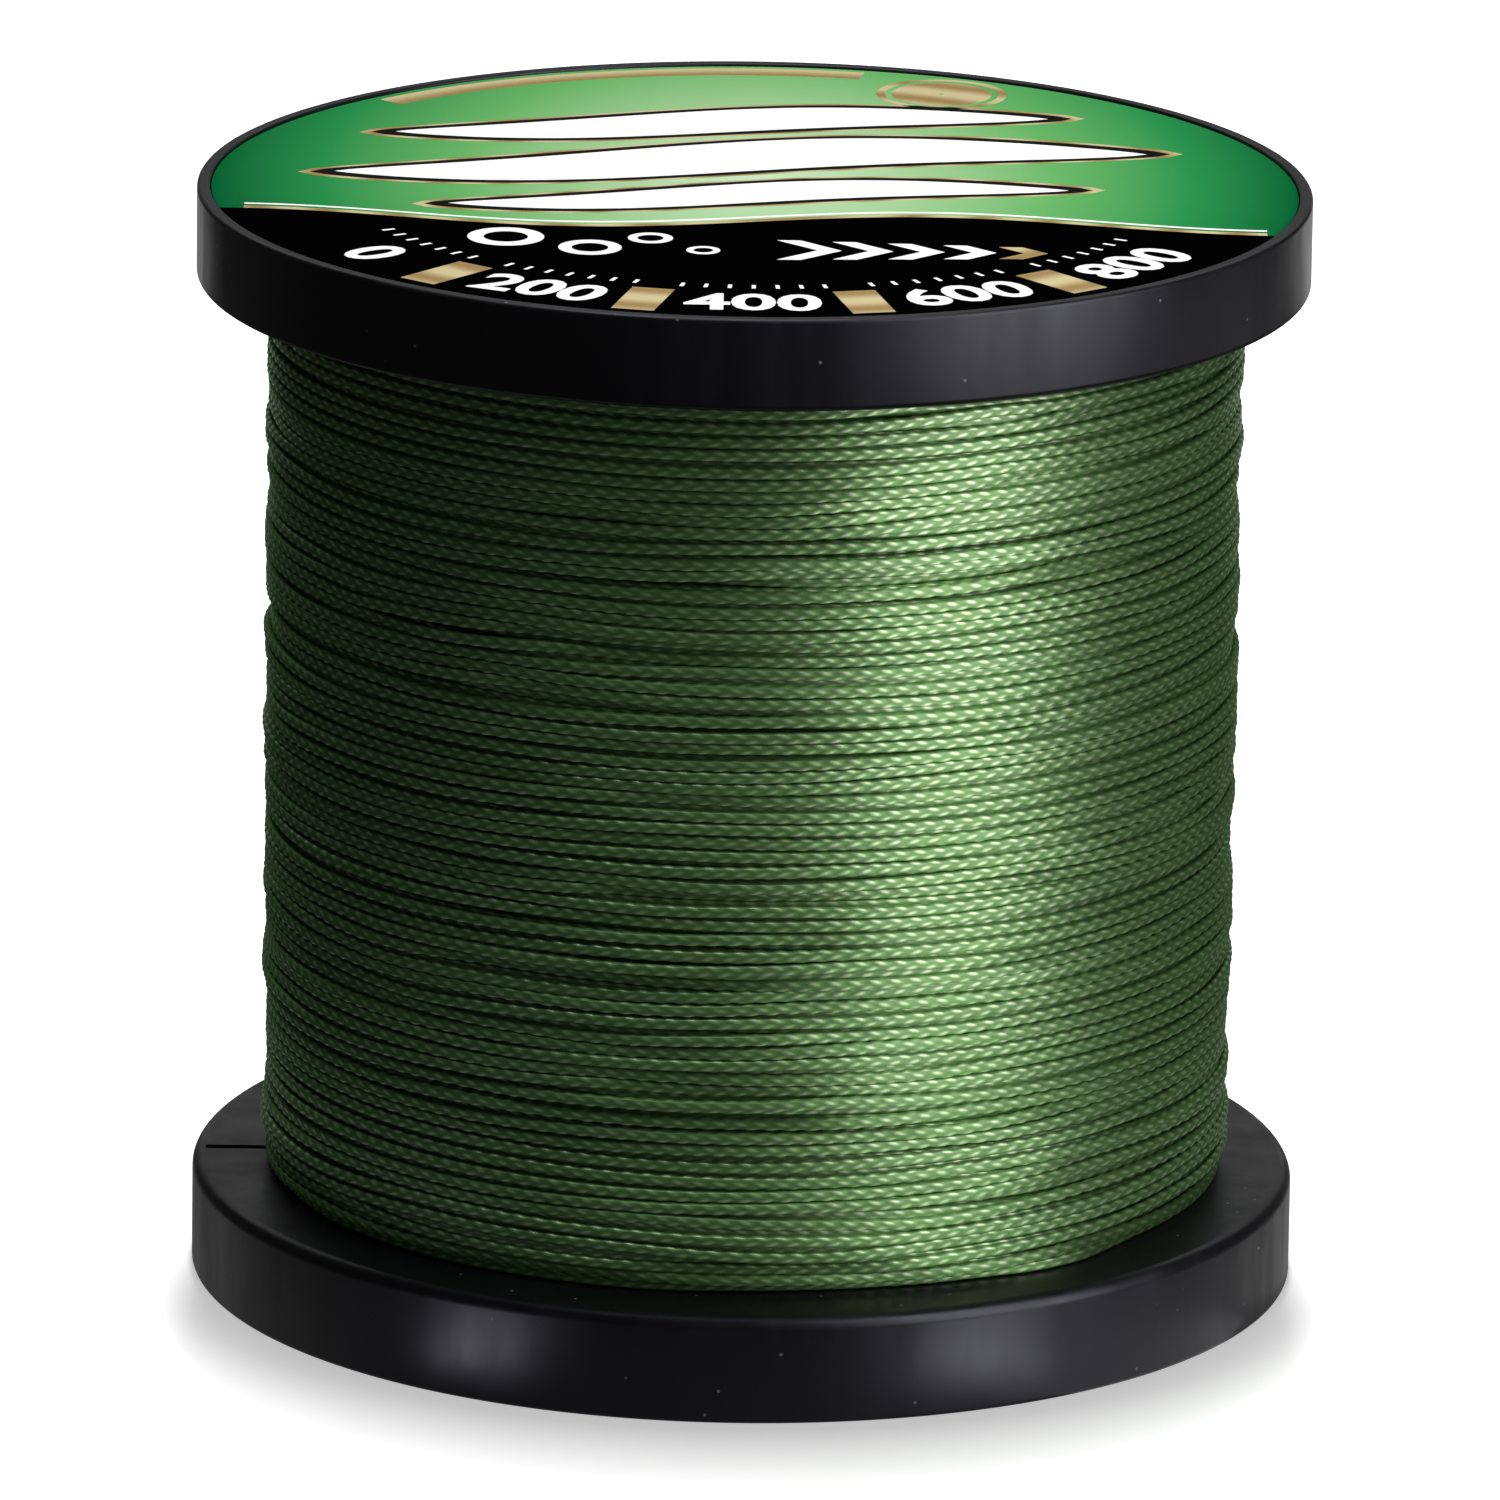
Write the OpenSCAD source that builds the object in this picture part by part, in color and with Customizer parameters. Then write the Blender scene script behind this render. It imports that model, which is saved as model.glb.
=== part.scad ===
// Fishing line spool: two hollow flanges on a core tube, wound with braided line.
// Millimetres. The origin is on the floor, at the centre of the lower rim, with +Z up the arbor.

/* [Spool] */
// Outside diameter of both flanges
flange_d = 100; // [80:1:130]
// Height from the lower rim to the upper rim
spool_h = 100.4; // [80:0.1:130]

/* [Flanges] */
// Height of the lower flange
lower_flange_t = 9.8; // [7.5:0.1:14]
// Height of the upper flange
upper_flange_t = 8.3; // [6.5:0.1:14]
// Thickness of the web, the wall beside the line
web_t = 2; // [1.5:0.1:3]
// Thickness of the skirt, the wall round the outside
skirt_t = 1.2; // [1:0.1:2]
// Rounding of each flange's edge beside the line
line_edge_r = 1.2; // [0.3:0.1:1.4]
// Rounding of each rim's outer edge
rim_edge_r = 0.4; // [0.1:0.05:0.5]
// Rounding of each rim's inner edge, round the label
rim_lip_r = 0.25; // [0.1:0.05:0.4]
// Width of the step inside the skirt that the cover sits on
ledge_w = 1.2; // [0.8:0.1:3]

/* [Hub] */
// Diameter of the arbor hole
arbor_d = 10; // [6:0.5:16]
// Wall of the boss round the arbor hole
boss_wall = 3; // [1.5:0.5:5]
// Outside diameter of the core tube
core_d = 40; // [36:1:60]
// Wall of the core tube
core_wall = 2.2; // [1.2:0.1:4]
// Length of the spigot that holds each end of the core tube
spigot_len = 6; // [3:0.5:12]
// Wall of the spigots
spigot_wall = 2; // [1.2:0.1:2.5]
// Radial gap in the glued joints of the core tube
joint_gap = 0.05; // [0.02:0.01:0.2]

/* [Covers and labels] */
// Thickness of the covers
cover_t = 1.5; // [0.8:0.1:2.5]
// Thickness of the printed labels
label_t = 0.2; // [0.1:0.05:0.5]
// How far the labels lie below the rims
label_recess = 0.3; // [0.1:0.05:0.8]
// Radial gap between the rim and the cover and label in it
cover_gap = 0.1; // [0.05:0.05:0.3]
// How much wider than the arbor hole the lower label is punched, on the radius
punch_margin = 1; // [0:0.25:3]

/* [Line] */
// Distance from the flanges' edge to the outside of the wound line
line_margin = 6.6; // [3:0.1:12]
// Thickness of the real line
line_d = 0.95; // [0.4:0.05:1.4]
// Room on each side of the line in the slot that its inner end goes through
slot_gap = 0.075; // [0.05:0.025:0.3]
// How many times thicker than the line its knot is
knot_scale = 2.7; // [2:0.1:3.2]
// Free length of line beyond the knot
tail_len = 5; // [2:0.5:10]
// Loops of the outer layer: each stands for about three turns of the real line
loops = 24; // [12:1:24]
// Gap between the loops of the outer layer
loop_gap = 0.53; // [0.45:0.01:0.8]
// Gap between the wound line and the flanges
line_gap = 0.1; // [0.05:0.05:0.3]

/* [Hidden] */

plastic_black = "#1b1b1e";
cover_black = "#26262a";
core_grey = "#3a3a3e";
label_green = "#2f7a3c";
label_dark = "#101211";
line_green = "#35623a";
line_deep_green = "#24452a";

round_fn = 180;
edge_fn = 48;
// How far a cut reaches past the face it opens
over = 1;
// Small gaps: round the end of the outer layer, under it, and round the line's inner end
pocket_gap = 0.15;
bulk_gap = 0.1;
start_gap = 0.1;

flange_r = flange_d / 2;
arbor_r = arbor_d / 2;
core_r = core_d / 2;
spigot_r = core_r - core_wall - joint_gap;

// Places along the arbor
lower_face_z = lower_flange_t;
upper_face_z = spool_h - upper_flange_t;
cover_z = label_recess + label_t;
ledge_z = cover_z + cover_t;
disc_r = flange_r - skirt_t - cover_gap;

// The wound line, from flange to flange
wound_r = flange_r - line_margin;
wound_low_z = lower_face_z + line_gap;
wound_high_z = upper_face_z - line_gap;

// Outer layer: a six-sided tube, with flats above and below
loop_rings = 24;
tube_sides = 6;
loop_pitch = (wound_high_z - wound_low_z + loop_gap) / (loops + 1);
loop_half_h = (loop_pitch - loop_gap) / 2;
tube_r = loop_half_h / sin(360 / tube_sides);
loop_r = wound_r - tube_r;
// Rings whose centres lie farther apart than this are no neighbours
neighbour_reach = 1.2 * loop_pitch;
first_z = wound_low_z + loop_half_h;
last_z = first_z + loops * loop_pitch;

// Its ends turn inwards to the layer below, each in a pocket in the bulk
end_angle = 90;
bend_r = 2 * tube_r;
bend_steps = 5;
straight_len = 2 * tube_r;
pocket_r = loop_r - bend_r - straight_len;
bulk_r = loop_r * cos(180 / loop_rings) - tube_r - bulk_gap;

// The line's inner end, at the inner end of a slot that runs from the core tube to the skirt
slot_w = line_d + 2 * slot_gap;
slot_in_r = core_r + start_gap;
slot_out_r = flange_r - skirt_t;
start_r = slot_in_r + start_gap + line_d / 2;
knot_d = knot_scale * line_d;
knot_z = lower_face_z - web_t - start_gap - knot_d / 2;

// What a rounding takes off the corner in one quadrant of a circle at (x, z)
module corner_waste(x, z, radius, quadrant) {
    translate([x, z])
        rotate(90 * quadrant)
            difference() {
                square(radius + over);
                circle(radius, $fn = edge_fn);
            }
}

// Half section of a flange that stands on its rim, with the line above it
module flange_section(height) {
    difference() {
        union() {
            // Web
            translate([arbor_r, height - web_t])
                square([flange_r - arbor_r, web_t]);
            // Skirt
            translate([flange_r - skirt_t, 0])
                square([skirt_t, height]);
            // Step for the cover's edge
            translate([flange_r - skirt_t - ledge_w, ledge_z])
                square([ledge_w + skirt_t, height - ledge_z]);
            // Boss for the arbor, which carries the cover's middle
            translate([arbor_r, ledge_z])
                square([boss_wall, height - ledge_z]);
            // Spigot for the core tube
            translate([spigot_r - spigot_wall, height - web_t])
                square([spigot_wall, web_t + spigot_len]);
        }
        corner_waste(flange_r - line_edge_r, height - line_edge_r, line_edge_r, 0);
        corner_waste(flange_r - rim_edge_r, rim_edge_r, rim_edge_r, 3);
        corner_waste(flange_r - skirt_t + rim_lip_r, rim_lip_r, rim_lip_r, 2);
    }
}

module flange(height) {
    rotate_extrude($fn = round_fn)
        flange_section(height);
}

// Turns a piece of the lower end over, to the upper end
module at_upper_end() {
    translate([0, 0, spool_h])
        mirror([0, 0, 1])
            children();
}

module lower_flange() {
    color(plastic_black)
        difference() {
            flange(lower_flange_t);
            translate([-slot_out_r, -slot_w / 2, lower_face_z - web_t - over])
                cube([slot_out_r - slot_in_r, slot_w, web_t + 2 * over]);
        }
}

module upper_flange() {
    color(plastic_black)
        at_upper_end()
            flange(upper_flange_t);
}

module core_tube() {
    tube_h = upper_face_z - lower_face_z;
    color(core_grey)
        translate([0, 0, lower_face_z])
            difference() {
                cylinder(h = tube_h, r = core_r, $fn = round_fn);
                translate([0, 0, -over])
                    cylinder(h = tube_h + 2 * over, r = core_r - core_wall, $fn = round_fn);
            }
}

// Round disc of a given thickness, with a hole
module ring_disc(outer_r, hole_r, thickness) {
    difference() {
        cylinder(h = thickness, r = outer_r, $fn = round_fn);
        translate([0, 0, -over])
            cylinder(h = thickness + 2 * over, r = hole_r, $fn = round_fn);
    }
}

module cover() {
    translate([0, 0, cover_z])
        ring_disc(disc_r, arbor_r, cover_t);
}

module lower_cover() {
    color(cover_black)
        cover();
}

module upper_cover() {
    color(cover_black)
        at_upper_end()
            cover();
}

module lower_label() {
    color(label_dark)
        translate([0, 0, label_recess])
            ring_disc(disc_r, arbor_r + punch_margin, label_t);
}

// This label isn't punched: it bridges the arbor hole
module upper_label() {
    color(label_green)
        at_upper_end()
            translate([0, 0, label_recess])
                cylinder(h = label_t, r = disc_r, $fn = round_fn);
}

// Inner end of the line: a stem through the slot, a knot behind the web and a short tail
module line_start() {
    color(line_deep_green)
        translate([-start_r, 0, knot_z]) {
            cylinder(h = wound_low_z - knot_z, d = line_d, $fn = edge_fn);
            sphere(d = knot_d, $fn = edge_fn);
            rotate([0, -90, 0])
                cylinder(h = knot_d / 2 + tail_len, d = line_d, $fn = edge_fn);
        }
}

// Space for one end of the outer layer, on the side of it given by dir
module end_pocket(low_z, high_z, dir) {
    pocket_w = bend_r + tube_r + pocket_gap;
    rotate([0, 0, end_angle])
        translate([pocket_r, dir < 0 ? -pocket_w : 0, low_z])
            cube([bulk_r - pocket_r + over, pocket_w, high_z - low_z]);
}

// Inner layers of the line, as a plain drum
module line_bulk() {
    room = loop_half_h + pocket_gap;
    color(line_deep_green)
        difference() {
            translate([0, 0, wound_low_z])
                ring_disc(bulk_r, core_r + joint_gap, wound_high_z - wound_low_z);
            end_pocket(wound_low_z - over, first_z + room, -1);
            end_pocket(last_z - room, wound_high_z + over, 1);
        }
}

// Route of the outer layer: straight out of its pocket, round, and straight in again
function loop_point(i) = [
    loop_r * cos(360 * i / loop_rings),
    loop_r * sin(360 * i / loop_rings),
    first_z + loop_pitch * i / loop_rings
];
function bend_point(step, dir, z) = [
    loop_r - bend_r + bend_r * sin(90 * step / bend_steps),
    dir * bend_r * cos(90 * step / bend_steps),
    z
];
loop_route = concat(
    [[pocket_r, -bend_r, first_z]],
    [for (step = [0 : bend_steps - 1]) bend_point(step, -1, first_z)],
    [for (i = [0 : loops * loop_rings]) loop_point(i)],
    [for (step = [bend_steps - 1 : -1 : 0]) bend_point(step, 1, last_z)],
    [[pocket_r, bend_r, last_z]]
);

// Ring of points round the route at one of its points, square to its direction there
function unit(v) = v / norm(v);
function tube_ring(route, i) =
    let (
        before = route[max(i - 1, 0)],
        after = route[min(i + 1, len(route) - 1)],
        along = unit(after - before),
        side = unit(cross(along, [0, 0, 1])),
        up = cross(side, along)
    )
    [
        for (k = [0 : tube_sides - 1])
            let (a = 360 * k / tube_sides)
                route[i] + tube_r * (cos(a) * side + sin(a) * up)
    ];

// Least distance between the points of rings at least half a loop apart
function ring_gap(a, b) = min([for (p = a) for (q = b) norm(p - q)]);
function least_gap(route, rings) = min([
    for (i = [0 : len(route) - 1])
        for (k = [i + loop_rings / 2 : 1 : len(route) - 1])
            if (norm(route[i] - route[k]) < neighbour_reach)
                ring_gap(rings[i], rings[k])
]);

// The outermost layer of the line, as one unbroken tube
module line_outer_turns() {
    rings = [for (i = [0 : len(loop_route) - 1]) tube_ring(loop_route, i)];
    last_ring = len(rings) - 1;
    first_point = last_ring * tube_sides;
    echo(least_gap_mm = least_gap(loop_route, rings), loop_thickness_mm = 2 * tube_r);
    sides = [
        for (i = [0 : last_ring - 1])
            for (k = [0 : tube_sides - 1])
                let (
                    a = i * tube_sides + k,
                    b = i * tube_sides + (k + 1) % tube_sides,
                    c = b + tube_sides,
                    d = a + tube_sides
                )
                each [[a, b, c], [a, c, d]]
    ];
    start_cap = [for (k = [1 : tube_sides - 2]) [0, k + 1, k]];
    end_cap = [for (k = [1 : tube_sides - 2]) [first_point, first_point + k, first_point + k + 1]];
    color(line_green)
        rotate([0, 0, end_angle])
            polyhedron(
                points = [for (ring = rings) for (p = ring) p],
                faces = concat(sides, start_cap, end_cap)
            );
}

lower_flange();
upper_flange();
core_tube();
lower_cover();
upper_cover();
lower_label();
upper_label();
line_start();
line_bulk();
line_outer_turns();
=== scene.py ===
# %% [markdown]
# # A spool of braided fishing line
# The real thing is two black moulded flanges on a core tube, a round printed label on each end and
# some hundreds of metres of green braided line wound between them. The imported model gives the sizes
# and places of all of these. This lesson dresses them, one finish at a time, and winds the line in code.

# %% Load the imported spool
import math

import bmesh
import bpy
import numpy as np
from mathutils import Matrix, Vector


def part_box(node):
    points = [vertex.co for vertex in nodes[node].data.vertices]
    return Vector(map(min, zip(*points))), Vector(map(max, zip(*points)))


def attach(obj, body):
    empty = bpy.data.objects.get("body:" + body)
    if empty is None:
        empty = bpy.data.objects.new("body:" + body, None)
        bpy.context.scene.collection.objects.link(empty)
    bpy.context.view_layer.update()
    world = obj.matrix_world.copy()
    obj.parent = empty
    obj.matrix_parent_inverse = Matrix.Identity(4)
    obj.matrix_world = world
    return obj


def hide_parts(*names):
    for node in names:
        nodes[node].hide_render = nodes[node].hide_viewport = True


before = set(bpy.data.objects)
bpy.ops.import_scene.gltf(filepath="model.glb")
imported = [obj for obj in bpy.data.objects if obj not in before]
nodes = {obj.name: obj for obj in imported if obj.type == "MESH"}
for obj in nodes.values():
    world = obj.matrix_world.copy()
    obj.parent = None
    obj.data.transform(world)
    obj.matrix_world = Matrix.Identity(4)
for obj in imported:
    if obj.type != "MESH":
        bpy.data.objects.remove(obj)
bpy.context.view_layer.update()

MM = 0.001
print("CAD nodes:", ", ".join(sorted(nodes)))

# %% [markdown]
# ## The main sizes
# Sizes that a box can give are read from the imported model, so that a piece made here always fits the
# one it stands for. The rest are the wall thicknesses and roundings of the mouldings, which a box
# cannot give, so they are written once here in millimetres.

# %% Main sizes
spool_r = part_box("lower_flange")[1].x
spool_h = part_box("upper_flange")[1].z
line_low_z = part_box("line_bulk")[0].z
line_high_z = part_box("line_bulk")[1].z
label_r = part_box("upper_label")[1].x
label_top_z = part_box("upper_label")[1].z
core_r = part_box("core_tube")[1].x
line_d = 0.95 * MM
# The line stops this far short of each flange
line_gap = 0.1 * MM
lower_flange_t = line_low_z - line_gap
upper_flange_t = spool_h - line_high_z - line_gap
print(f"spool {2000 * spool_r:.1f} mm wide and {1000 * spool_h:.1f} mm high")

# %% [markdown]
# ## Camera
# A long lens from 1.45 m gives nearly parallel sides, as a product picture has. The camera looks down
# by 15 degrees. Building its axes as a matrix keeps the small roll of a hand-levelled tripod, which
# aiming by a constraint would lose.

# %% Camera
def add_object(name, data):
    """An object for a mesh, a camera, a light or a text, put into the scene."""
    thing = bpy.data.objects.new(name, data)
    bpy.context.scene.collection.objects.link(thing)
    return thing


view_distance = 1.4549
view_down = math.radians(15.334)
camera_roll = math.radians(0.814)
aim_right = 0.25 * MM
aim_down = 2.16 * MM
middle = Vector((0, 0, spool_h / 2))
towards_camera = Vector((0, -math.cos(view_down), math.sin(view_down)))
level_right = Vector((1, 0, 0))
level_up = level_right.cross(-towards_camera)
aim = middle + aim_right * level_right - aim_down * level_up
eye = middle + view_distance * towards_camera
forward = (aim - eye).normalized()
right = forward.cross(Vector((0, 0, 1))).normalized()
up = right.cross(forward)
rolled_right = math.cos(camera_roll) * right + math.sin(camera_roll) * up
rolled_up = math.cos(camera_roll) * up - math.sin(camera_roll) * right
camera_data = bpy.data.cameras.new("camera")
camera_data.lens = 386.15
camera_data.sensor_width = 36
camera = add_object("camera", camera_data)
turned = Matrix((rolled_right, rolled_up, -forward)).transposed()
camera.matrix_world = Matrix.Translation(eye) @ turned.to_4x4()
bpy.context.scene.camera = camera
bpy.context.scene.view_settings.view_transform = "Standard"
print(f"camera at {eye.y:.3f}, {eye.z:.3f} m")

# %% [markdown]
# ## Materials: the helpers
# Every finish below is built from shader nodes. One function adds a node, sets its values and links
# its inputs, so that a finish reads as a short list. Another turns a colour as a painter writes it,
# an sRGB hex value, into the linear numbers that the shader adds up.

# %% Helpers for materials
def linear(hex_colour):
    """An sRGB hex colour as linear red, green, blue and alpha."""
    values = [int(hex_colour[i : i + 2], 16) / 255 for i in (1, 3, 5)]
    return [v / 12.92 if v <= 0.04045 else ((v + 0.055) / 1.055) ** 2.4 for v in values] + [1]


def set_node(node, settings, links):
    """Sets a node's inputs, by name or number, or its properties, and links its inputs."""
    for name, value in settings.items():
        if isinstance(name, int) or name in node.inputs:
            node.inputs[name].default_value = value
        else:
            setattr(node, name, value)
    for name, socket in links.items():
        node.id_data.links.new(socket, node.inputs[name])


def add_node(tree, kind, settings=None, links=None, output=0):
    """Adds a shader node, sets and links it, and returns one of its outputs by number or name."""
    node = tree.nodes.new("ShaderNode" + kind)
    set_node(node, settings or {}, links or {})
    return node.outputs[output]


def new_material(name, settings):
    """An empty material, its node tree, and its surface shader with some inputs set."""
    material = bpy.data.materials.new(name)
    material.use_nodes = True
    tree = material.node_tree
    tree.nodes.clear()
    shader = tree.nodes.new("ShaderNodeBsdfPrincipled")
    output = tree.nodes.new("ShaderNodeOutputMaterial")
    tree.links.new(shader.outputs[0], output.inputs["Surface"])
    set_node(shader, settings, {})
    print("material:", name)
    return material, tree, shader


# %% [markdown]
# ## Floor and light
# The spool stands on a pale table. Softboxes at the right front, tall and close, draw the single
# bright band down the flanges and the wound line, which have one each, at nearly the same place. A
# wide, weak one overhead and a dim room are all that lights the left, which is what lets black
# plastic look black. Floor and object are lit apart, as backlit acrylic does in a studio, and white
# cards take the floor's place in reflections, so that it can be told piece by piece where the
# plastic catches a bright line.

# %% Floor
def stage_plane(name, place, width, depth, turn=None):
    """A rectangle about a place, level unless turned, that isn't part of the object."""
    corners = [(-1, -1), (1, -1), (1, 1), (-1, 1)]
    points = [(i * width / 2, j * depth / 2, 0) for i, j in corners]
    mesh = bpy.data.meshes.new(name)
    mesh.from_pydata(points, [], [(0, 1, 2, 3)])
    mesh.transform(Matrix.Translation(place) @ (turn or Matrix()))
    plane = add_object(name, mesh)
    return plane


def glowing(name, strength, settings):
    """A finish that gives off white light, with some other inputs set."""
    light = {"Emission Color": linear("#ffffff"), "Emission Strength": strength}
    return new_material(name, {**light, **settings})[0]


floor = stage_plane("floor", (0, 0, 0), 8, 8)
acrylic = {"Base Color": linear("#e6e6e6"), "Specular IOR Level": 0}
floor.data.materials.append(glowing("backlit_white_acrylic", 0.49, acrylic))
floor.visible_glossy = False
floor.visible_diffuse = False
floor.visible_shadow = False

# %% Cards that show only as reflections
upright = Matrix.Rotation(math.pi / 2, 4, "X")
to_right = Matrix.Rotation(math.radians(49), 4, "Z")
to_left = to_right.inverted()
# Name, place, width, depth, strength and turn. The two small lamps low in front each leave one soft
# spot on the lower flange
card_sizes = [
    ("card_behind", (0.04, 0.80, 0.5 * MM), 0.52, 1.0, 1.0, None),
    ("low_back_card", (0, 0.35, 0.085), 0.36, 0.11, 0.35, upright),
    ("high_back_card", (0, 0.60, 0.55), 0.9, 0.4, 0.9, upright),
    ("near_table", (0, 0, -0.05 * MM), 0.16, 0.16, 0.28, None),
    ("near_right_table", (0.068, -0.012, 0), 0.035, 0.09, 0.5, None),
    ("far_right_table", (0.37, 0.08, 0), 0.16, 0.30, 0.8, None),
    ("left_lamp", (-0.038, -0.056, 0.1 * MM), 0.013, 0.020, 7.0, to_left),
    ("right_lamp", (0.037, -0.058, 0.1 * MM), 0.016, 0.022, 7.0, to_right),
    ("table_glow", (0.070, -0.070, 0), 0.050, 0.10, 1.0, to_right),
]
cards = {}
for name, place, width, depth, strength, turn in card_sizes:
    card = stage_plane(name, place, width, depth, turn)
    card.data.materials.append(glowing(name + "_white", strength, {"Base Color": linear("#000000")}))
    card.visible_camera = False
    card.visible_diffuse = False
    card.visible_shadow = False
    cards[name] = card
print(len(cards), "cards")


# %% Lights
def softbox(name, place, target, width, height, power):
    """A rectangular area light at place that faces target."""
    data = bpy.data.lights.new(name, "AREA")
    data.shape = "RECTANGLE"
    data.size = width
    data.size_y = height
    data.energy = power
    light = add_object(name, data)
    facing = (Vector(target) - Vector(place)).to_track_quat("-Z", "Y")
    light.matrix_world = Matrix.Translation(place) @ facing.to_matrix().to_4x4()
    light.visible_camera = False
    return light


def right_front(degrees, height):
    """A place 0.30 m from the arbor, so many degrees to the right of the front."""
    azimuth = math.radians(degrees)
    return 0.30 * math.sin(azimuth), -0.30 * math.cos(azimuth), height


origin = (0, 0, 0)
overhead = (-0.05, 0.0, 0.80)
key = softbox("key_softbox", right_front(53, 0.225), (0, 0, 0.17), 0.25, 0.43, 2.4)
# The polished table mirrors the line's softbox into the under sides of the turns, as a second one
# below the table
line_key = softbox("line_key", right_front(47.5, 0.225), (0, 0, 0.17), 0.22, 0.43, 1.85)
mirrored_key = softbox("mirrored_key", right_front(47.5, -0.25), (0, 0, -0.18), 0.22, 0.50, 1.8)
# The diffuser of these two is a little rosy, so that the highlight is less green than the fibre
for light in (line_key, mirrored_key):
    light.data.color = linear("#ffebf3")[:3]
top = softbox("top_softbox", overhead, origin, 0.6, 0.5, 5.0)
edge_light = softbox("edge_light", overhead, origin, 0.6, 0.5, 0.9)
floor_light = softbox("floor_light", (0, 0.24, 1.60), origin, 0.12, 0.54, 36.0)


def aim_light(light, state, *pieces):
    """Makes a light fall on some pieces alone (INCLUDE) or on all but those (EXCLUDE)."""
    receivers = light.light_linking.receiver_collection
    if receivers is None:
        receivers = bpy.data.collections.new(light.name + "_receivers")
        light.light_linking.receiver_collection = receivers
    for piece in pieces:
        receivers.objects.link(piece)
    for member in receivers.collection_objects:
        member.light_linking.link_state = state


# The floor has a light of its own from above and behind, so it shows one soft shadow, in front
aim_light(key, "EXCLUDE", floor)
aim_light(top, "EXCLUDE", floor)
aim_light(floor_light, "INCLUDE", floor)

world = bpy.data.worlds.new("room")
bpy.context.scene.world = world
world.use_nodes = True
set_node(world.node_tree.nodes["Background"], {"Color": linear("#ffffff"), "Strength": 0.06}, {})

# %% [markdown]
# ## Meshes: the helpers
# The winding has more than a million faces. Handing NumPy arrays to Blender with `foreach_set` fills
# such a mesh in a moment, where adding one face at a time would take minutes. A turned piece, such as
# a flange, is its half section swept round the arbor in many narrow steps, so its rim stays round.

# %% Helpers for meshes
def make_piece(name, points, quads, material, smooth_angle=None):
    """A mesh object from arrays of points and of four-cornered faces, riding on the spool."""
    points = np.asarray(points, np.float32)
    quads = np.asarray(quads, np.int32)
    mesh = bpy.data.meshes.new(name)
    mesh.vertices.add(len(points))
    mesh.vertices.foreach_set("co", points.ravel())
    mesh.loops.add(quads.size)
    mesh.loops.foreach_set("vertex_index", quads.ravel())
    mesh.polygons.add(len(quads))
    mesh.polygons.foreach_set("loop_start", np.arange(0, quads.size, quads.shape[1], dtype=np.int32))
    mesh.update(calc_edges=True)
    mesh.validate()
    return finish_piece(name, mesh, material, smooth_angle)


def finish_piece(name, mesh, material, smooth_angle=None):
    """An object for a finished mesh, shaded smooth but for edges sharper than the angle."""
    mesh.polygons.foreach_set("use_smooth", np.ones(len(mesh.polygons), bool))
    if smooth_angle is not None:
        mesh.set_sharp_from_angle(angle=math.radians(smooth_angle))
    mesh.materials.append(material)
    piece = add_object(name, mesh)
    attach(piece, "root")
    return piece


def arc(centre_r, centre_z, radius, start, end, steps):
    """Points of a rounding in the half section, from one angle in degrees to another."""
    angles = np.radians(np.linspace(start, end, steps + 1))
    return [(centre_r + radius * math.cos(a), centre_z + radius * math.sin(a)) for a in angles]


def ring_quads(ring_count, count, closed):
    """Faces between rings of so many points, the last ring joined to the first if closed."""
    gaps = ring_count if closed else ring_count - 1
    i, j = np.meshgrid(np.arange(gaps), np.arange(count), indexing="ij")
    this, after = i * count, (i + 1) % ring_count * count
    nxt = (j + 1) % count
    return np.stack([this + j, after + j, after + nxt, this + nxt], -1).reshape(-1, 4)


def turned_mesh(section, steps):
    """Points and faces of a closed half section, a list of (r, z), swept round the arbor."""
    section = np.asarray(section)
    angles = np.arange(steps) * 2 * math.pi / steps
    x = np.cos(angles)[:, None] * section[None, :, 0]
    y = np.sin(angles)[:, None] * section[None, :, 0]
    z = np.broadcast_to(section[None, :, 1], x.shape)
    return np.stack([x, y, z], -1).reshape(-1, 3), ring_quads(steps, len(section), True)


# %% [markdown]
# ## Flanges
# Each flange is one hollow moulding in black ABS: a thin web beside the line, a skirt round the
# outside, a step for the cover and a boss and spigot in the middle. A spark-eroded mould leaves it
# satin, and handling adds dust, dull smears and hair-fine scratches. ABS reflects about 4 % head on,
# so with its black pigment nearly all that the eye sees is the softbox and the edges of the room.

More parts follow.
